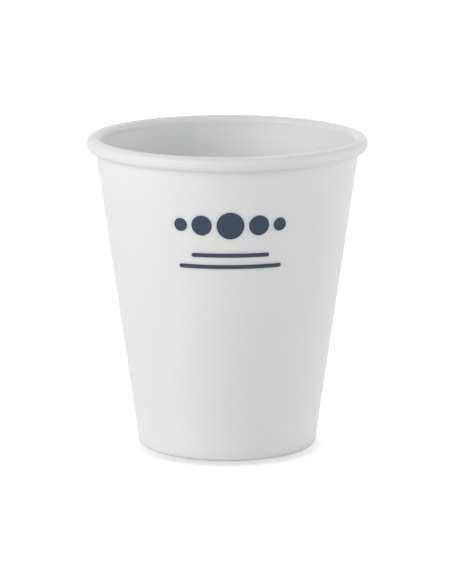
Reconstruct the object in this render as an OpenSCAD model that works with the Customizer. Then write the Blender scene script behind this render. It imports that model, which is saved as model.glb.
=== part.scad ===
// Reusable cup: one moulded piece with a plain tapered wall, a thick round lip
// that is hollow underneath, a domed floor on a foot ring, and stacking lugs.
// Millimetres. +Z is up, and the origin is the middle of the standing plane.

/* [Body] */
// Height from the standing plane to the top of the lip
cup_h = 100; // [80:1:130]
// Outer diameter across the lip, the size that a snap-on lid fits
rim_d = 90; // [84:0.5:96]
// Outer diameter of the wall's cone where it meets the standing plane
base_d = 57.6; // [50:0.2:64]
// Thickness of the tapered wall
wall_t = 1.8; // [1.4:0.1:2.4]

/* [Lip] */
// Height of the lip's section
lip_h = 4.6; // [4:0.1:6]
// Radius that rounds the edges of the lip
lip_round = 2; // [1:0.1:2]
// How far the lip stands out from the wall at its underside
lip_overhang = 2.85; // [2.5:0.05:4]
// How far the lip stands in from the wall inside the mouth
lip_bead = 0.1; // [0.05:0.05:0.4]
// Radius of the hollow curve between the lip and the wall inside the mouth
bead_blend = 4; // [2:0.5:8]
// Thickness of the skirt that closes the lip's hollow on the outside
skirt_t = 1.5; // [1.2:0.1:1.7]
// Radius of the skirt's lower edge, next to the hollow
skirt_round = 0.3; // [0.1:0.05:0.4]
// Thickness of the lip over its hollow
lip_top_t = 1.7; // [1.4:0.1:2.4]
// Radius of the two corners at the top of the hollow
hollow_round = 0.35; // [0.1:0.05:0.35]

/* [Foot] */
// Width of the foot ring at the standing plane
foot_w = 2; // [1.6:0.1:3]
// Height of the recess inside the foot ring
foot_h = 3; // [2:0.1:5]
// Draft of the foot ring's inner face, in degrees
foot_draft = 3; // [1:0.5:8]
// Radius of the foot ring's outer edge
foot_round = 0.4; // [0.2:0.1:1]
// Radius of the foot ring's inner edge
foot_inner_round = 0.4; // [0.1:0.1:0.5]
// Radius in the corner between the foot ring and the floor's underside
recess_fillet = 0.8; // [0.2:0.1:1.5]

/* [Floor] */
// Thickness of the floor
floor_t = 1.8; // [1.4:0.1:3]
// How far the middle of the floor is domed up
floor_rise = 0.5; // [0:0.1:1.5]
// Radius inside, where the floor turns up into the wall
floor_fillet = 4; // [1:0.5:8]
// Diameter of the shallow dimple at the moulding gate, under the floor
gate_d = 6; // [4:0.5:10]
// Depth of the gate dimple
gate_depth = 0.35; // [0.2:0.05:0.6]
// Diameter of the stub that the gate leaves in its dimple
stub_d = 1.6; // [1:0.1:2.5]
// Height of the gate stub
stub_h = 0.2; // [0.1:0.05:0.3]

/* [Stacking lugs] */
// Number of lugs around the inside of the wall
lug_count = 6; // [3:1:12]
// Width of each lug
lug_w = 2; // [1.5:0.1:4]
// How far the lugs reach in under the foot of a cup that is nested inside
lug_reach = 1.4; // [1:0.1:2]
// Clearance between the walls of two nested cups
stack_gap = 0.15; // [0.05:0.05:0.5]
// Draft of each lug's inner face, in degrees
lug_draft = 1.5; // [0.5:0.5:5]
// Radius of the inner edge on top of each lug
lug_round = 0.3; // [0.1:0.1:0.5]

/* [Hidden] */

$fn = 180;
// How far a round stretch of the section may lie inside its true arc
arc_error = 0.005;
// Straight steps that the section takes along the dome of the floor
dome_steps = 8;

rim_r = rim_d / 2;
base_r = base_d / 2;

// The wall is a cone from the standing plane to the lip's underside
under_z = cup_h - lip_h;
slope = (rim_r - lip_overhang - base_r) / under_z;
taper = atan(slope);
function wall_outer(z) = base_r + slope * z;
function wall_inner(z) = wall_outer(z) - wall_t / cos(taper);
function wall_middle(z) = (wall_outer(z) + wall_inner(z)) / 2;

// The lip's rounding can't be more than half of its height or of its width
lip_w = rim_r - wall_inner(cup_h) + lip_bead;
lip_r = min(lip_round, lip_h / 2, lip_w / 2);

// The round into the mouth is narrowest at this height
bead_z = cup_h - lip_r;
bead_r = wall_inner(bead_z) - lip_bead;

// The hollow lies between the wall's cone and the skirt
hollow_z = cup_h - lip_top_t;
skirt_r = rim_r - skirt_t;
hollow_r = min(hollow_round, 0.45 * (skirt_r - wall_outer(hollow_z)));

floor_z = foot_h + floor_t;

// A nested cup stands where its outer wall clears this inner wall by stack_gap
stack_pitch = (wall_t / cos(taper) + stack_gap) / slope;
lug_in_r = base_r - lug_reach;

function polar(r, a) = r * [cos(a), sin(a)];
function heading(v) = atan2(v.y, v.x);

// Points of a round stretch about c, of radius r, from angle a0 to a1. It takes
// as many steps as arc_error asks, and skip = 1 leaves out its first point.
function arc(c, r, a0, a1, skip = 0) =
    let (step = 2 * acos(1 - arc_error / r),
         n = ceil(abs(a1 - a0) / step))
    [for (i = [skip:n]) c + polar(r, a0 + (a1 - a0) * i / n)];

// The floor's rise at radius r: level at the middle and level again at edge_r
function dome(r, edge_r) = floor_rise * pow(1 - pow(r / edge_r, 2), 2);

// Centre of the fillet where the floor turns up into the wall
function floor_turn() =
    let (z = floor_z + floor_fillet)
    [wall_inner(z) - floor_fillet / cos(taper), z];

// Floor's underside, from the axis out, with the gate dimple and its stub
function underside() =
    let (edge_r = floor_turn().x,
         gate_r = gate_d / 2,
         roof = foot_h + dome(gate_r, edge_r) + gate_depth)
    concat(
        [[0, roof - stub_h], [stub_d / 2, roof - stub_h], [stub_d / 2, roof],
         [gate_r - gate_depth, roof]],
        [for (i = [0:dome_steps])
            let (r = gate_r + (edge_r - gate_r) * i / dome_steps)
            [r, foot_h + dome(r, edge_r)]]);

// Foot ring, from the recess round the seat to the outside
function foot() =
    let (face = function (z) base_r - foot_w - z * tan(foot_draft),
         recess_z = foot_h - recess_fillet,
         recess = [face(recess_z) - recess_fillet / cos(foot_draft), recess_z],
         inner = [face(foot_inner_round) + foot_inner_round / cos(foot_draft), foot_inner_round],
         outer = [wall_outer(foot_round) - foot_round / cos(taper), foot_round])
    concat(
        arc(recess, recess_fillet, 90, foot_draft),
        arc(inner, foot_inner_round, 180 + foot_draft, 270),
        arc(outer, foot_round, 270, 360 - taper));

// Hollow under the lip, up the wall's outer face and down inside the skirt
function hollow() =
    let (z = hollow_z - hollow_r)
    concat(
        arc([wall_outer(z) + hollow_r / cos(taper), z], hollow_r, 180 - taper, 90),
        arc([skirt_r - hollow_r, z], hollow_r, 90, 0));

// Skirt's lower edge and the round outside of the lip, up to its top
function lip_outside() =
    let (low = [rim_r - lip_r, under_z + lip_r],
         edge_x = skirt_r + skirt_round,
         drop = sqrt(pow(lip_r - skirt_round, 2) - pow(edge_x - low.x, 2)),
         edge = [edge_x, low.y - drop],
         meet = heading(edge - low))
    concat(
        arc(edge, skirt_round, 180, 360 + meet),
        arc(low, lip_r, meet, 0, skip = 1),
        arc([low.x, cup_h - lip_r], lip_r, 0, 90));

// Round into the mouth, and the hollow curve that carries it into the wall
function lip_inside() =
    let (top = [bead_r + lip_r, bead_z],
         up_wall = [sin(taper), cos(taper)],
         off_wall = [-cos(taper), sin(taper)],
         depth = (lip_r - lip_bead) * cos(taper),
         back = sqrt(pow(lip_r + bead_blend, 2) - pow(bead_blend + depth, 2)),
         blend = top - back * up_wall + (bead_blend + depth) * off_wall)
    concat(
        arc(top, lip_r, 90, 360 + heading(blend - top)),
        arc(blend, bead_blend, heading(top - blend), -taper, skip = 1));

// Inside of the floor, from the wall back to the axis
function inside_floor() =
    let (turn = floor_turn())
    concat(
        arc(turn, floor_fillet, -taper, -90),
        [for (i = [dome_steps - 1:-1:0])
            let (r = turn.x * i / dome_steps)
            [r, floor_z + dome(r, turn.x)]]);

// The cup's section on one side of its axis
module section() {
    polygon(concat(underside(), foot(), hollow(), lip_outside(), lip_inside(), inside_floor()));
}

// One lug: a rib on the inside of the wall that ends in a flat seat at the top
module lug() {
    root_z = foot_h + floor_t / 2;
    face = function (z) lug_in_r - (stack_pitch - z) * tan(lug_draft);
    edge_z = stack_pitch - lug_round;
    edge = [face(edge_z) + lug_round / cos(lug_draft), edge_z];
    rotate([90, 0, 0])
        linear_extrude(lug_w, center = true)
            polygon(concat(
                [[face(root_z), root_z], [wall_middle(root_z), root_z],
                 [wall_middle(stack_pitch), stack_pitch]],
                arc(edge, lug_round, 90, 180 - lug_draft)));
}

module cup() {
    color([0.93, 0.93, 0.92]) {
        rotate_extrude() section();
        for (i = [0:lug_count - 1]) rotate(360 * i / lug_count) lug();
    }
}

cup();
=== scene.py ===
# %% [markdown]
# # A reusable cup in matt white polypropylene
#
# This lesson dresses one injection-moulded drinking cup for a photograph. The
# cup is a single piece: a tapered wall, a thick round lip that is hollow
# underneath, a domed floor on a foot ring, and small stacking lugs inside. Its
# real form is so plain that the finish and the light carry the picture, so the
# surface is rebuilt as one exact shape and the lamps are set with care.
#
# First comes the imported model, which fixes every size and place. Its box is
# kept, because the dressed cup has to fill the same box at the end. All sizes
# here are in millimetres, and MM turns them into Blender's metres.

import bpy
import numpy as np
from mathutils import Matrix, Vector


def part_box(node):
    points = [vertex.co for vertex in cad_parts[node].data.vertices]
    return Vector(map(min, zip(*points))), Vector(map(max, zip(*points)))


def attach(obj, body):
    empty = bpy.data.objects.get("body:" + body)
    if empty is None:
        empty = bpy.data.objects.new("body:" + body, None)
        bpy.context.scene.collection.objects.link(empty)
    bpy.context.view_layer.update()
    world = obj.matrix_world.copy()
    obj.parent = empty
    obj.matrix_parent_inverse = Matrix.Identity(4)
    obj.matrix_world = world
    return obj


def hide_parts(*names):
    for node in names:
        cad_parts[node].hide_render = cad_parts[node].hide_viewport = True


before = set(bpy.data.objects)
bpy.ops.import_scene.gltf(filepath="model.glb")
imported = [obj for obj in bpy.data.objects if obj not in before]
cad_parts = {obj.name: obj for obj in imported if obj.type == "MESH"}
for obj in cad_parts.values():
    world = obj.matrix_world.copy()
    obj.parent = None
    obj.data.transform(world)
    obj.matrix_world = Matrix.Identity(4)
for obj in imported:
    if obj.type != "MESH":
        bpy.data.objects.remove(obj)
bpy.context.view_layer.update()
cup_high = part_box("cup")[1]
MM = 0.001
rim_r = cup_high.x / MM
cup_h = cup_high.z / MM
print(f"cup: lip {2 * rim_r:.1f} mm across, {cup_h:.1f} mm high")

# %% [markdown]
# ## Places round the cup
#
# The camera and the lamps stand round the cup. Two angles and a distance are
# easier to read and to change than three coordinates, so one helper turns such
# angles into a direction.


# %% Directions round the cup
def direction(azimuth, elevation):
    """Unit vector towards a place round the cup. Azimuth 0 is the front, -Y, and
    90 the right, +X; elevation is the angle above the horizon, in degrees."""
    a, e = np.radians([azimuth, elevation])
    return Vector((np.sin(a) * np.cos(e), -np.cos(a) * np.cos(e), np.sin(e)))


print("half up on the right:", [round(c, 3) for c in direction(90, 45)])

# %% [markdown]
# ## The camera
#
# The photograph was taken from a metre away with a long lens, a little above
# the lip. A long lens keeps the sides of the cup nearly straight. The camera
# looks at a point a little off the cup's middle, so that the middle lands on the
# pixel where the photograph has it.

# %% Place the camera
PHOTO_W, PHOTO_H = 452, 584
SENSOR = 36.0
camera_lift = 12.07
camera_away = 994.2
camera_lens = 189.6
middle_px = Vector((227.19, 288.11))


def place_camera():
    """A camera whose picture shows the cup's middle at the pixel middle_px. One
    pixel there is sensor / lens / picture height x distance wide."""
    data = bpy.data.cameras.new("camera")
    data.sensor_width = SENSOR
    data.lens = camera_lens
    camera = bpy.data.objects.new("camera", data)
    bpy.context.scene.collection.objects.link(camera)
    back = direction(0, camera_lift)
    turn = (-back).to_track_quat("-Z", "Y")
    pixel = SENSOR / camera_lens / max(PHOTO_W, PHOTO_H) * camera_away
    right, up = turn @ Vector((1, 0, 0)), turn @ Vector((0, 1, 0))
    aim = Vector((0, 0, cup_h / 2))
    aim -= right * pixel * (middle_px.x - PHOTO_W / 2)
    aim += up * pixel * (middle_px.y - PHOTO_H / 2)
    camera.location = (aim + back * camera_away) * MM
    camera.rotation_mode = "QUATERNION"
    camera.rotation_quaternion = turn
    bpy.context.scene.camera = camera
    return camera


camera = place_camera()
print("camera at", [round(c, 4) for c in camera.location])

# %% [markdown]
# ## Surfaces from rings
#
# Every new surface here is a stack of closed rings with a point at each end: a
# cup turned on its axis and a flat bar of ink are both that. A ring is a row of
# a numpy array, so a whole surface is one array of rings x points x 3, and the
# faces are index arithmetic. Fans of triangles close the two ends, so the mesh
# has no hole and its inside and outside are well defined.


# %% Turn rings into a mesh
def ring_mesh(name, rings, first, last):
    """Closed mesh from rings (m x n x 3, in millimetres) and its two end points.
    Neighbouring rings are joined by quads, and each end by a fan. Faces point
    outwards: the signed volume under them says whether to turn them over."""
    m, n, _ = rings.shape
    points = np.concatenate([rings.reshape(-1, 3), [first, last]]) * MM
    here = np.arange(n)
    after = np.roll(here, -1)
    row = np.arange(m - 1)[:, None] * n
    quads = np.stack([row + here, row + after, row + n + after, row + n + here], axis=-1)
    top = (m - 1) * n
    fans = np.concatenate([
        np.stack([np.full(n, m * n), after, here], axis=-1),
        np.stack([np.full(n, m * n + 1), top + here, top + after], axis=-1)])
    quads = quads.reshape(-1, 4)
    corners = np.concatenate([quads[:, [0, 1, 2]], quads[:, [0, 2, 3]], fans])
    a, b, c = points[corners].transpose(1, 0, 2)
    if np.einsum("ij,ij->", a, np.cross(b, c)) < 0:
        quads, fans = quads[:, ::-1], fans[:, ::-1]
    mesh = bpy.data.meshes.new(name)
    mesh.from_pydata(points.tolist(), [], quads.tolist() + fans.tolist())
    mesh.shade_smooth()
    piece = bpy.data.objects.new(name, mesh)
    bpy.context.scene.collection.objects.link(piece)
    print(f"{name}: {len(points)} points, {len(corners)} triangles")
    return piece


# %% [markdown]
# ## Outlines from arcs and straight runs
#
# A moulded section is drawn the way a toolmaker draws it: straight runs joined
# by arcs that are tangent to them. Each arc gets as many steps as its radius
# needs. A straight run gets a point just inside each end, because smooth
# shading averages the faces at a point, and those extra points stop the turn of
# an edge from tinting the whole wall beside it.

# %% Draw arcs and join them
ARC_ERROR = 0.003
RUN_MARGIN = 0.2
RUN_PITCH = 7.0
TOUCHING = 1e-6


def arc(centre, radius, start, end):
    """Points of a circle about centre, from angle start to end in degrees. The
    step is the widest whose chord stays within ARC_ERROR of the circle."""
    widest = 2 * np.degrees(np.arccos(1 - ARC_ERROR / radius))
    steps = int(np.ceil(abs(end - start) / widest))
    angle = np.radians(np.linspace(start, end, steps + 1))
    return np.array(centre) + radius * np.stack([np.cos(angle), np.sin(angle)], axis=-1)


def run(a, b):
    """Inner points of a straight run from a to b: one RUN_MARGIN from each end
    and others evenly between, about RUN_PITCH apart."""
    length = np.linalg.norm(b - a)
    if length < 2 * RUN_MARGIN:
        return np.empty((0, 2))
    inner = np.linspace(RUN_MARGIN, length - RUN_MARGIN, 2 + int(length // RUN_PITCH))
    return a + (b - a) * (inner / length)[:, None]


def outline(*stretches):
    """One outline through the stretches, with a straight run between each two.
    A stretch that starts where the last one ended gives up its first point."""
    parts = [stretches[0]]
    for before, after in zip(stretches, stretches[1:]):
        touches = np.allclose(before[-1], after[0], atol=TOUCHING)
        parts += [run(before[-1], after[0]), after[1:] if touches else after]
    return np.concatenate(parts)


print("a quarter round of 4 mm takes", len(arc((0, 0), 4, 0, 90)), "points")

# %% [markdown]
# ## The wall
#
# The wall is one cone outside and one inside, 1.8 mm apart. It leans out by a
# few degrees, so that the cup slides off its mould and nests in an equal one.
# The lean follows from two radii: the base's, and the one just under the lip,
# which stands out from the wall by an overhang.

# %% Lean of the wall
base_r = 28.8
wall_t = 1.8
lip_h = 4.6
lip_overhang = 2.85

under_z = cup_h - lip_h
slope = (rim_r - lip_overhang - base_r) / under_z
taper = np.degrees(np.arctan(slope))
lean = np.array([np.sin(np.radians(taper)), np.cos(np.radians(taper))])
wall_gap = wall_t / lean[1]
print(f"wall leans out by {taper:.2f} degrees")

# %% [markdown]
# Three helpers read the cone: its radius outside and inside at any height, and
# the centre of a round that turns a level face up into it.


# %% Cones and their corners
def wall_outer(z):
    """Outer radius of the wall's cone at height z: it grows evenly with z."""
    return base_r + slope * z


def wall_inner(z):
    """Inner radius at height z: the outer cone less the wall, measured level."""
    return wall_outer(z) - wall_gap


def corner(z, radius):
    """Centre of an arc that turns a level face at height z up into the inner
    cone. It lies one radius above the face and one radius in from the cone."""
    return np.array([wall_inner(z + radius) - radius / lean[1], z + radius])


print(f"wall is {wall_gap:.2f} mm thick, measured level")

# %% [markdown]
# ## The floor
#
# The foot is a ring that keeps the soft middle of the floor off the table, and
# the floor is domed so that it can't sag below the ring. A fourth-power curve is
# level both in the middle and at its edge, so the dome needs no round of its own.

# %% Domed floor
foot_h = 3.0
floor_t = 1.8
floor_rise = 0.5
floor_fillet = 4.0

floor_z = foot_h + floor_t
floor_turn = corner(floor_z, floor_fillet)


def dome(r, edge_r):
    """Rise of the floor at radius r: the fourth-power curve (1 - (r/edge)^2)^2,
    which is level both at the middle and at edge_r."""
    return floor_rise * (1 - (r / edge_r) ** 2) ** 2


floor_top = floor_z + dome(0, floor_turn[0])
print(f"floor's inside rises from {floor_z:.1f} to {floor_top:.1f} mm")

# %% [markdown]
# ## The underside
#
# The outline starts on the axis, under the floor. At the gate, where the plastic
# entered the mould, the underside has a shallow dimple with the stub of the
# runner in it, so that the rough stub stays clear of the domed sheet round it.

# %% Underside
gate_r = 3.0
gate_depth = 0.35
stub_r = 0.8
stub_h = 0.2
SHEET_POINTS = 16

gate_roof = foot_h + dome(gate_r, floor_turn[0]) + gate_depth
stub_z = gate_roof - stub_h


def underside():
    """Gate stub, dimple and domed underside, from the axis to the floor's edge."""
    stub = np.array([[stub_r / 2, stub_z], [stub_r, stub_z]])
    dimple = np.array([[stub_r, gate_roof], [gate_r - gate_depth, gate_roof]])
    r = np.linspace(gate_r, floor_turn[0], SHEET_POINTS)
    sheet = np.stack([r, foot_h + dome(r, floor_turn[0])], axis=-1)
    return [stub, dimple, sheet]


print(f"the gate's stub ends {stub_z:.2f} mm above the table")

# %% [markdown]
# ## The foot
#
# The cup stands on a narrow ring. Its inner face has a few degrees of draft, so
# that the core slides out of it, and small rounds take the sharpness off its
# edges. A rounder corner joins the ring to the floor, where the cup is stressed.

# %% Foot
foot_w = 2.0
foot_draft = 3.0
foot_round = 0.4
foot_inner_round = 0.4
recess_fillet = 0.8


def foot_face(z):
    """Radius of the ring's inner face at height z: it draws in evenly with z."""
    return base_r - foot_w - z * np.tan(np.radians(foot_draft))


def foot():
    """Fillet of the recess, the inner edge of the ring, its seat and outer edge."""
    upright = np.cos(np.radians(foot_draft))
    low = foot_h - recess_fillet
    recess = [foot_face(low) - recess_fillet / upright, low]
    inner = [foot_face(foot_inner_round) + foot_inner_round / upright, foot_inner_round]
    outer = [wall_outer(foot_round) - foot_round / lean[1], foot_round]
    return [arc(recess, recess_fillet, 90, foot_draft),
            arc(inner, foot_inner_round, 180 + foot_draft, 270),
            arc(outer, foot_round, 270, 360 - taper)]


_, inner_edge, outer_edge = foot()
print(f"the cup stands on radii {inner_edge[-1, 0]:.1f} to {outer_edge[0, 0]:.1f} mm")

# %% [markdown]
# ## The lip
#
# A solid roll this thick would sink as it cooled, so the lip is a hook: a round
# outside over a narrow hollow that is open below. The outline climbs the wall's
# outer cone into the hollow and comes down again inside the lip's skirt.

# %% Hollow under the lip
skirt_t = 1.5
lip_top_t = 1.7
hollow_round = 0.35


def hollow():
    """Roof of the hollow, between the wall's outer cone and the skirt."""
    z = cup_h - lip_top_t - hollow_round
    by_wall = [wall_outer(z) + hollow_round / lean[1], z]
    by_skirt = [rim_r - skirt_t - hollow_round, z]
    return [arc(by_wall, hollow_round, 180 - taper, 90), arc(by_skirt, hollow_round, 90, 0)]


print(f"the hollow is {lip_overhang - skirt_t:.2f} mm wide at its mouth")

# %% [markdown]
# A lid grips the short straight band at the lip's widest place. The fine groove
# at the lower edge of the band is the line where two parts of the mould met,
# about a hair's breadth wide.

# %% Outside of the lip
lip_r = 2.0
skirt_round = 0.3
PARTING_DEPTH = 0.03
PARTING_HALF = 0.06


def heading(v):
    """Angle of a vector in degrees."""
    return np.degrees(np.arctan2(v[1], v[0]))


def lip_outside():
    """Skirt's edge, the lower round, the parting groove and the upper round. The
    edge's centre is where its circle touches the lower round from inside."""
    low = np.array([rim_r - lip_r, under_z + lip_r])
    edge_x = rim_r - skirt_t + skirt_round
    drop = np.sqrt((lip_r - skirt_round) ** 2 - (edge_x - low[0]) ** 2)
    edge = np.array([edge_x, low[1] - drop])
    meet = heading(edge - low)
    groove_z = low[1] + 2 * PARTING_HALF
    groove = np.array([[rim_r, groove_z - PARTING_HALF],
                       [rim_r - PARTING_DEPTH, groove_z],
                       [rim_r, groove_z + PARTING_HALF]])
    return [arc(edge, skirt_round, 180, 360 + meet), arc(low, lip_r, meet, 0), groove,
            arc([low[0], cup_h - lip_r], lip_r, 0, 90)]


print(f"a lid grips the band from {under_z + lip_r:.1f} to {cup_h - lip_r:.1f} mm")

# %% [markdown]
# Inside the mouth the lip stands a tenth of a millimetre proud, and a hollow
# curve carries it into the wall. The curve touches the round of the lip and the
# straight cone, and a right triangle gives the place of its centre.

# %% Inside of the lip
lip_bead = 0.1
bead_blend = 4.0


def lip_inside():
    """The round into the mouth, which ends as a bead a little proud of the wall,
    and the hollow curve below it. The curve's centre is where a circle touches
    both the round and the inner cone."""
    z = cup_h - lip_r
    top = np.array([wall_inner(z) - lip_bead + lip_r, z])
    depth = (lip_r - lip_bead) * lean[1]
    back = np.sqrt((lip_r + bead_blend) ** 2 - (bead_blend + depth) ** 2)
    inward = np.array([-lean[1], lean[0]])
    blend = top - back * lean + (bead_blend + depth) * inward
    return [arc(top, lip_r, 90, 360 + heading(blend - top)),
            arc(blend, bead_blend, heading(top - blend), -taper)]


print(f"the lip runs out {cup_h - lip_inside()[-1][-1, 1]:.1f} mm below the top")

# %% [markdown]
# ## Stacking lugs
#
# Nested cups jam when their cones touch, and then they can't be pulled apart.
# Small lugs near the floor stop that: the foot of the next cup lands on them
# just before the walls meet, so their height follows from the lean of the wall
# and a clearance.

# %% Sizes of the lugs
lug_count = 6
lug_w = 2.0
lug_reach = 1.4
stack_gap = 0.15

stack_pitch = (wall_gap + stack_gap) / slope
lug_in_r = base_r - lug_reach
print(f"nested cups stand {stack_pitch:.1f} mm apart")

# %% [markdown]
# A lug's inner face has a little draft, as the foot has, and runs straight down
# into the round between wall and floor.

# %% Face of a lug
lug_draft = 1.5
lug_lean = np.tan(np.radians(lug_draft))


def lug_face(z):
    """Radius of a lug's inner face, which leans in a little towards the floor."""
    return lug_in_r - (stack_pitch - z) * lug_lean


def lug_foot():
    """Where the lug's face runs into the floor's fillet: the lower crossing of
    a straight line with a circle, from the quadratic formula."""
    offset = lug_face(floor_turn[1]) - floor_turn[0]
    a, b, c = 1 + lug_lean**2, 2 * offset * lug_lean, offset**2 - floor_fillet**2
    drop = (-b - np.sqrt(b * b - 4 * a * c)) / (2 * a)
    z = floor_turn[1] + drop
    return np.array([lug_face(z), z])


print(f"a lug's face meets the floor's round at {lug_foot()[1]:.2f} mm")

# %% [markdown]
# Each lug's outline has as many points as the plain wall behind it. A lug is
# then a blend between two sections as the angle passes it, and the cup stays one
# closed surface with nothing cut or glued on.

# %% Outline over a lug, and of the wall behind it
lug_round = 0.3
LUG_ROOT_ROUND = 0.15
SHEAR = 0.02


def lug_path():
    """Outline over a lug, downwards: root, flat seat, rounded edge and face."""
    start_z = stack_pitch + 3 * LUG_ROOT_ROUND
    start = np.array([[wall_inner(start_z), start_z]])
    root = arc(corner(stack_pitch, LUG_ROOT_ROUND), LUG_ROOT_ROUND, -taper, -90)
    edge_z = stack_pitch - lug_round
    edge = [lug_face(edge_z) + lug_round / np.cos(np.radians(lug_draft)), edge_z]
    crown = arc(edge, lug_round, 90, 180 - lug_draft)
    return outline(start, root, crown, lug_foot()[None])


def plain_path(path):
    """The wall behind a lug's path, point for point at the same heights. A small
    shear in height keeps the points apart where the lug's seat is level."""
    z = path[:, 1] - SHEAR * np.sin(np.linspace(0, np.pi, len(path)))
    in_fillet = np.sqrt(np.maximum(floor_fillet**2 - (floor_turn[1] - z) ** 2, 0))
    turn_z = floor_turn[1] - floor_fillet * lean[0]
    r = np.where(z > turn_z, wall_inner(z), floor_turn[0] + in_fillet)
    r[[0, -1]] = path[[0, -1], 0]
    return np.stack([r, z], axis=-1)


print(f"outline over a lug: {len(lug_path())} points")

# %% [markdown]
# ## The inside of the floor
#
# The floor's inside closes the outline. A fine ring shows where an air valve in
# the core blew the cup off its mould. It is a shallow groove, so the points lie
# close together across it and far apart on the smooth sheet beside it.

# %% Inside of the floor
valve_r = 9.0
VALVE_DEPTH = 0.05
VALVE_HALF = 0.12
VALVE_REACH = 3
VALVE_POINTS = 13
SHEET_MARGIN = 1.0
OUTER_POINTS, MIDDLE_POINTS = 10, 6


def inside_floor():
    """Rest of the fillet, then the dome to the axis with the air valve's ring, a
    groove whose depth falls off as a bell curve about valve_r."""
    meet = heading(lug_foot() - floor_turn)
    bell = valve_r + VALVE_HALF * np.linspace(VALVE_REACH, -VALVE_REACH, VALVE_POINTS)
    outer = np.linspace(floor_turn[0], bell[0] + SHEET_MARGIN, OUTER_POINTS)
    middle = np.linspace(bell[-1] - SHEET_MARGIN, SHEET_MARGIN, MIDDLE_POINTS)
    r = np.concatenate([outer, bell, middle])
    groove = VALVE_DEPTH * np.exp(-(((r - valve_r) / VALVE_HALF) ** 2))
    sheet = np.stack([r, floor_z + dome(r, floor_turn[0]) - groove], axis=-1)
    return [arc(floor_turn, floor_fillet, meet, -90), sheet]


print(f"valve ring {2 * valve_r:.0f} mm across, {VALVE_DEPTH} mm deep")

# %% [markdown]
# ## Columns round the cup
#
# The outline goes round the axis in columns. They are even all the way, except
# at the side of each lug, where the surface turns so fast that a few columns
# close together take their place.

# %% Angles of the columns
COLUMNS = 288
LUG_SIDE = 0.12
SIDE_CLEAR = 1.5
SIDE_COLUMNS = 5

lug_angles = np.arange(lug_count) * 360 / lug_count


def from_lug(angle):
    """Degrees from each angle to the middle of the nearest lug."""
    return np.abs((angle[:, None] - lug_angles + 180) % 360 - 180).min(axis=1)


def column_angles():
    """Angles of the columns: even steps, with the stretch at each lug's side
    replaced by a close set of its own."""
    even = np.arange(COLUMNS) * 360 / COLUMNS
    half, ramp = np.degrees(np.array([lug_w / 2, LUG_SIDE]) / lug_in_r)
    even = even[np.abs(from_lug(even) - half) > SIDE_CLEAR * ramp]
    side = half + ramp * np.linspace(-1, 1, SIDE_COLUMNS)
    close = lug_angles[:, None] + np.concatenate([side, -side])
    return np.sort(np.concatenate([even, close.ravel() % 360]))


print(f"{len(column_angles())} columns round the cup")

# %% [markdown]
# ## The whole cup
#
# The radius and height of each ring are mixed from the two sections by a weight
# that is 1 on a lug, 0 between lugs, and ramps smoothly over each lug's side.


# %% Carry the section round the axis
def lug_weight(angle):
    """1 on a lug and 0 between lugs, with the smooth step t^2 (3 - 2t) over each
    side, where t runs from 0 to 1 across it."""
    away = np.radians(from_lug(angle)) * lug_in_r - lug_w / 2
    t = np.clip((LUG_SIDE - away) / (2 * LUG_SIDE), 0, 1)
    return t * t * (3 - 2 * t)


def make_cup():
    """The cup as one closed surface: ring point = (1 - w) plain + w lugged. The
    plain section comes back with it."""
    outside = [*underside(), *foot(), *hollow(), *lip_outside(), *lip_inside()]
    path = lug_path()
    plain = outline(*outside, plain_path(path), *inside_floor())
    lugged = outline(*outside, path, *inside_floor())
    angle = column_angles()
    weight = lug_weight(angle)
    section = plain[:, None] + (lugged - plain)[:, None] * weight[None, :, None]
    r, z = section[..., 0], section[..., 1]
    turn = np.radians(angle)
    rings = np.stack([r * np.cos(turn), r * np.sin(turn), z], axis=-1)
    return ring_mesh("cup_body", rings, (0, 0, stub_z), (0, 0, floor_top)), plain


cup, section = make_cup()

# %% [markdown]
# The part of the section after its highest point is the inside of the cup. Thin
# discs under it add up to the volume, each with the mean of the squared radii at
# its two faces.

# %% Measure the volume to the brim
ML_MM3 = 1000
r, z = section[np.argmax(section[:, 1]):].T
brim = np.pi * np.sum((r[1:] ** 2 + r[:-1] ** 2) / 2 * (z[:-1] - z[1:])) / ML_MM3
print(f"section: {len(section)} points; {brim:.0f} ml to the brim")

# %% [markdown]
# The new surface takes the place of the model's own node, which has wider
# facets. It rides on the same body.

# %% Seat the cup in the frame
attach(cup, "root")
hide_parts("cup")

# %% [markdown]
# ## The print
#
# A cup like this is pad printed: a soft pad lays a film of ink a few hundredths
# of a millimetre thick on the finished wall. Every mark is a bar with round
# ends, or a dot, which is a bar as long as it is thick. Each is a thin closed
# film: its outline is drawn flat, as a length round the wall and a height, and
# is then laid on the cone.

# %% Lay bars of ink on the cone
INK_T = 0.03
BAR_STEPS = 64
BAR_ROWS = 16


def crowded(count):
    """Numbers from -1 to 1 that crowd at both ends: a sine of even steps."""
    return np.sin(np.linspace(-np.pi / 2, np.pi / 2, count))


def ink_bar(name, middle, height, length, thickness):
    """A bar with round ends, length by thickness, centred at a distance middle
    round the wall from the front and at a height. Near its ends, half the
    thickness falls as a circle. Each ring goes over the film's face and back
    under it, and crowds at the edges so that their turn shades a hair's breadth."""
    end_r = thickness / 2
    x = length / 2 * crowded(BAR_STEPS + 1)[1:-1]
    past = np.maximum(np.abs(x) - (length / 2 - end_r), 0)
    half = np.sqrt(np.maximum(end_r**2 - past**2, 0))
    across = crowded(BAR_ROWS)
    across = np.concatenate([across, across[::-1]])
    lift = np.repeat([INK_T, -INK_T], BAR_ROWS)
    z = height + half[:, None] * across
    r = wall_outer(z) + lift
    turn = (middle + x[:, None] + 0 * z) / wall_outer(height)
    rings = np.stack([r * np.sin(turn), -r * np.cos(turn), z], axis=-1)
    tip_r = wall_outer(height)
    tips = (middle + np.array([-length, length]) / 2) / tip_r
    first, last = [(tip_r * np.sin(t), -tip_r * np.cos(t), height) for t in tips]
    return ring_mesh(name, rings, first, last)


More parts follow.
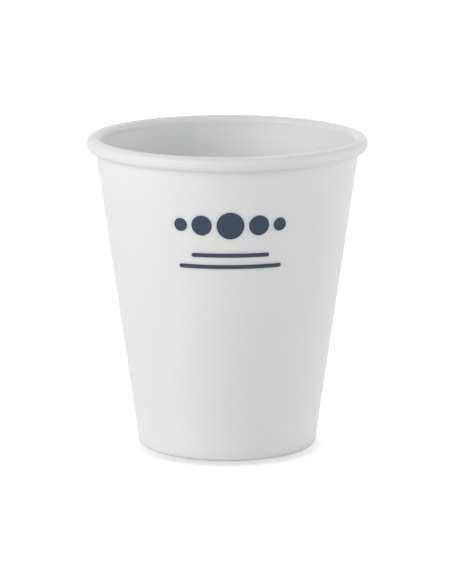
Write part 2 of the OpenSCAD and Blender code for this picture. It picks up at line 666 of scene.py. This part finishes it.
# %% [markdown]
# The motif is a row of dots that grow towards the middle, over two fine bars.

# %% Print the motif
motif_middle = 1.0
dots_z = 78.0
dot_sizes = [4.2, 6.4, 8.6, 6.4, 4.2]
dot_gap = 1.5
bars = [(68.4, 24.5), (64.7, 32.5)]
bar_t = 1.3


def print_motif():
    """A row of dots with equal gaps, centred on motif_middle, and the bars below
    it, each given by its height and its length."""
    sizes = np.array(dot_sizes)
    starts = np.cumsum(sizes + dot_gap) - sizes - dot_gap
    middles = starts + sizes / 2 - (sizes.sum() + dot_gap * (len(sizes) - 1)) / 2
    films = [ink_bar(f"ink_dot_{i + 1}", motif_middle + m, dots_z, d, d)
             for i, (m, d) in enumerate(zip(middles, sizes))]
    films += [ink_bar(f"ink_bar_{i + 1}", motif_middle, z, length, bar_t)
              for i, (z, length) in enumerate(bars)]
    return films


ink = print_motif()
for film in ink:
    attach(film, "root")

# %% [markdown]
# ## Writing shaders as arithmetic
#
# Shader nodes are easier to read as formulas. This class wraps one socket, and
# an expression such as 1 - mask adds the Math node that it stands for. Any
# other node comes from the node method, which sets the node's choices first and
# then fills its sockets with numbers or with other wires.


# %% A wire in a node tree
class Wire:
    """A socket in a node tree, with arithmetic. A Wire with no socket only gives
    access to its tree."""

    def __init__(self, tree, socket=None):
        self.tree, self.socket = tree, socket

    def node(self, kind, settings=None, output=0, **sockets):
        """Adds a node, makes its settings and fills its sockets. A socket is
        named by its label with spaces as underscores, or by _ and its number."""
        made = self.tree.nodes.new("ShaderNode" + kind)
        for name, value in (settings or {}).items():
            setattr(made, name, value)
        for name, value in sockets.items():
            key = int(name[1:]) if name[0] == "_" else name.replace("_", " ")
            if isinstance(value, Wire):
                self.tree.links.new(value.socket, made.inputs[key])
            else:
                made.inputs[key].default_value = value
        return Wire(self.tree, made.outputs[output] if made.outputs else None)

    def math(self, operation, a, b):
        """A Math node on two values or wires."""
        return self.node("Math", {"operation": operation}, _0=a, _1=b)

    def __add__(self, other):
        return self.math("ADD", self, other)

    def __sub__(self, other):
        return self.math("SUBTRACT", self, other)

    def __rsub__(self, other):
        return self.math("SUBTRACT", other, self)

    def __mul__(self, other):
        return self.math("MULTIPLY", self, other)

    __radd__ = __add__
    __rmul__ = __mul__


# %% [markdown]
# Three more helpers serve both finishes: an empty material, fine noise that is
# fixed to the piece, and a blend of two colours.


# %% Helpers for the finishes
def new_finish(name):
    """An empty material and a wire into its tree."""
    material = bpy.data.materials.new(name)
    material.use_nodes = True
    material.node_tree.nodes.clear()
    return material, Wire(material.node_tree)


def noise(wire, per_metre, detail):
    """Noise from 0 to 1 on Object coordinates, with per_metre waves a metre."""
    place = wire.node("TexCoord", output="Object")
    return wire.node("TexNoise", Vector=place, Scale=per_metre, Detail=detail)


def blend(wire, share, first, second):
    """The colour (1 - share) first + share second."""
    return wire.node("Mix", {"data_type": "RGBA"}, output=2, _0=share, _6=first, _7=second)


# %% [markdown]
# ## Matt polypropylene
#
# The mould for such a cup is spark eroded, which leaves a fine even grain that
# takes the shine off the plastic. Under the grain the wall is never quite flat:
# it shrinks a little unevenly as it cools. The colour is an almost neutral
# white with the faintest clouding from the pigment. Light travels a couple of
# millimetres inside the plastic before it comes out again, which softens the
# edges of shadows and fills the crease under the lip. A white as light as this
# also brightens itself: the inside is lit mostly by its own opposite wall.

# %% Make the plastic
plastic_white = (0.885, 0.886, 0.884, 1)
plastic_cloud = (0.867, 0.869, 0.868, 1)
plastic_rough = 0.44
cloud_rough = 0.08
plastic_ior = 1.49
light_path = 0.002
CLOUD_PER_M, CLOUD_DETAIL = 45, 3.0
GRAIN_PER_M, GRAIN_DETAIL = 3600, 2.0
GRAIN_DEPTH = 3.0e-6
SINK_PER_M, SINK_DETAIL = 70, 1.0
SINK_DEPTH = 30e-6


def make_plastic():
    """Matt moulded plastic: clouded colour, uneven roughness, grain and sink.
    The two depths and the light's path inside are in metres."""
    material, wire = new_finish("matt_polypropylene")
    cloud = noise(wire, CLOUD_PER_M, CLOUD_DETAIL)
    grain = noise(wire, GRAIN_PER_M, GRAIN_DETAIL)
    sink = noise(wire, SINK_PER_M, SINK_DETAIL)
    waves = wire.node("Bump", Height=sink, Strength=1.0, Distance=SINK_DEPTH)
    bumps = wire.node("Bump", Height=grain, Strength=1.0, Distance=GRAIN_DEPTH, Normal=waves)
    shader = wire.node("BsdfPrincipled",
                       Base_Color=blend(wire, cloud, plastic_white, plastic_cloud),
                       Roughness=plastic_rough + cloud_rough * cloud,
                       IOR=plastic_ior,
                       Subsurface_Weight=1.0,
                       Subsurface_Radius=(1.0, 1.0, 1.0),
                       Subsurface_Scale=light_path,
                       Normal=bumps)
    wire.node("OutputMaterial", Surface=shader)
    return material


plastic = make_plastic()
cup.data.materials.append(plastic)
print(f"plastic: {len(plastic.node_tree.nodes)} nodes, light travels {light_path / MM:.0f} mm")

# %% [markdown]
# ## Ink
#
# The ink is a dark grey blue. It has dried smoother than the grain below, and
# the pad never lays it quite evenly, so its tone and gloss drift a little.

# %% Make the ink
ink_blue = (0.010, 0.030, 0.064, 1)
ink_thin = (0.022, 0.045, 0.083, 1)
ink_rough = 0.36
patch_rough = 0.1
PATCH_PER_M, PATCH_DETAIL = 900, 3.0
PATCH_DEPTH = 2e-6


def make_ink():
    """Pad-printing ink: two blues mixed by fine patches, which also move its
    gloss and its surface a little."""
    material, wire = new_finish("print_ink")
    patches = noise(wire, PATCH_PER_M, PATCH_DETAIL)
    film = wire.node("Bump", Height=patches, Strength=1.0, Distance=PATCH_DEPTH)
    shader = wire.node("BsdfPrincipled",
                       Base_Color=blend(wire, patches, ink_blue, ink_thin),
                       Roughness=ink_rough + patch_rough * patches,
                       Normal=film)
    wire.node("OutputMaterial", Surface=shader)
    return material


ink_finish = make_ink()
for film in ink:
    film.data.materials.append(ink_finish)
print(f"ink: {len(ink_finish.node_tree.nodes)} nodes on {len(ink)} films")

# %% [markdown]
# ## White for the camera alone
#
# The photograph is on pure white, with only a thin soft shade round the foot.
# Light Path tells rays apart, so the surroundings can be white where the camera
# sees them and stay an ordinary pale room for every ray that lights the cup.
# Rays that mirror the surroundings to the camera count as seen too.

# %% Rays that the camera sees
WHITE = (1, 1, 1, 1)


def seen(wire):
    """1 for rays that the camera sends straight, mirrored or through glass."""
    rays = [wire.node("LightPath", output=name) for name in
            ("Is Camera Ray", "Is Glossy Ray", "Is Transmission Ray")]
    either = wire.math("MAXIMUM", rays[0], rays[1])
    return wire.math("MAXIMUM", either, rays[2])


# %% [markdown]
# ## The shade at the foot
#
# Close to the foot the floor's white has to give way to its own shade. Two
# Ambient Occlusion nodes say where that is: such a node measures how much open
# space a point sees within a short reach. One looks to the back, and meets the
# cup from the floor in front of it. The other looks to the front, and does the
# same behind. A higher power makes the shade wider, so the power grows towards
# the front, where the photograph shows most of it.

# %% Open space round the foot
CONTACT_REACH = 0.009
CONTACT_LEAN = 68
CONTACT_SAMPLES = 8
SIDE_POWER, FRONT_POWER, BACK_POWER = 0.7, 2.5, 1.5


def open_space(wire, end, end_power):
    """Share of open space round a floor point, seen from one end of the cup: end
    is -1 for the front and 1 for the back. It looks up, leaned to the other end,
    and is raised to a power that goes evenly with y from SIDE_POWER beside the
    cup's axis to end_power at the edge of the foot."""
    turn = np.radians(CONTACT_LEAN)
    way = wire.node("CombineXYZ", Y=-end * np.sin(turn), Z=np.cos(turn))
    space = wire.node("AmbientOcclusion", {"samples": CONTACT_SAMPLES}, output="AO",
                      Distance=CONTACT_REACH, Normal=way)
    place = wire.node("TexCoord", output="Object")
    y = wire.node("SeparateXYZ", output="Y", Vector=place)
    toward = wire.node("Clamp", Value=y * (end / (base_r * MM)))
    return wire.math("POWER", space, SIDE_POWER * (1 - toward) + end_power * toward)


# %% [markdown]
# ## The floor
#
# The floor is an ordinary pale matt surface that takes the cup's shadow. An even
# glow, which only the camera's rays meet, lifts it to white. The glow is shared
# out by the open space round the foot, so it fades where the shade begins.

# %% Floor
FLOOR_HALF = 8.0
floor_grey = (0.90, 0.90, 0.90, 1)
floor_lift = 0.70


def make_floor():
    """A level square under the foot, FLOOR_HALF metres each way."""
    mesh = bpy.data.meshes.new("floor")
    corners = np.array([(-1, -1, 0), (1, -1, 0), (1, 1, 0), (-1, 1, 0)]) * FLOOR_HALF
    mesh.from_pydata(corners.tolist(), [], [(0, 1, 2, 3)])
    floor = bpy.data.objects.new("floor", mesh)
    bpy.context.scene.collection.objects.link(floor)
    material, wire = new_finish("floor")
    matt = wire.node("BsdfDiffuse", Color=floor_grey)
    glow = wire.node("Emission", Color=WHITE, Strength=floor_lift)
    lifted = wire.node("AddShader", _0=matt, _1=glow)
    clear = open_space(wire, -1, FRONT_POWER) * open_space(wire, 1, BACK_POWER)
    share = seen(wire) * clear
    wire.node("OutputMaterial", Surface=wire.node("MixShader", _0=share, _1=matt, _2=lifted))
    mesh.materials.append(material)
    print(f"floor: {2 * FLOOR_HALF:.0f} m square, {len(wire.tree.nodes)} nodes")
    return floor


make_floor()

# %% [markdown]
# ## The room
#
# The world is a plain ambient light of one strength all round, a hair cooler
# than the lamps, and is white where the camera sees it.

# %% World
room_light = 0.35
room_tint = (0.965, 1.0, 0.995, 1)


def make_world():
    """Ambient light of one strength all round, and white to the camera."""
    world = bpy.data.worlds.new("studio")
    world.use_nodes = True
    world.node_tree.nodes.clear()
    wire = Wire(world.node_tree)
    light = wire.node("Background", Color=room_tint, Strength=room_light)
    white = wire.node("Background", Color=WHITE, Strength=1.0)
    wire.node("OutputWorld", Surface=wire.node("MixShader", _0=seen(wire), _1=light, _2=white))
    bpy.context.scene.world = world


make_world()
print(f"room: strength {room_light}")

# %% [markdown]
# ## Lamps
#
# The light comes from four large soft sources, each placed by its angle round
# the cup. Two are on the left, one near the camera and one further round, so the
# wall is brightest about halfway to its left edge. A low one on the right lifts
# the far side, and one behind gives the lip and the mouth their soft upper edge.
# Light adds up, so their strengths can be found by rendering each lamp alone and
# mixing those pictures. The lamps are a hair warmer than the room's light: the
# inside of the mouth, which they hardly reach, then looks a little cooler.

# %% Place the lamps
LAMP_AWAY = 1.2
# Name, azimuth, elevation, width, height, watts and colour of each lamp
lamps = [
    ("front_left", -28, 12, 0.7, 0.9, 3.64, (1.0, 0.962, 0.974)),
    ("left", -62, 20, 0.7, 0.7, 4.44, (1.0, 0.990, 0.994)),
    ("right", 92, 5, 0.7, 0.6, 5.6, (0.998, 0.964, 1.0)),
    ("back", 175, 35, 1.0, 1.1, 3.0, (1.0, 1.0, 1.0)),
]


def softbox(name, azimuth, elevation, width, height, power, colour):
    """A rectangular lamp LAMP_AWAY metres from the middle of the cup, which it
    faces. The camera doesn't see it."""
    data = bpy.data.lights.new(name, "AREA")
    data.shape = "RECTANGLE"
    data.size, data.size_y = width, height
    data.energy = power
    data.color = colour
    lamp = bpy.data.objects.new(name, data)
    bpy.context.scene.collection.objects.link(lamp)
    back = direction(azimuth, elevation)
    lamp.location = Vector((0, 0, cup_h / 2 * MM)) + back * LAMP_AWAY
    lamp.rotation_mode = "QUATERNION"
    lamp.rotation_quaternion = (-back).to_track_quat("-Z", "Y")
    lamp.visible_camera = False
    print(f"lamp {name}: {power} W from {azimuth} degrees round")


for lamp in lamps:
    softbox(*lamp)

# %% [markdown]
# ## The view transform
#
# The view transform is plain, so that colours come out as they are written.

# %% Plain view transform
bpy.context.scene.view_settings.view_transform = "Standard"
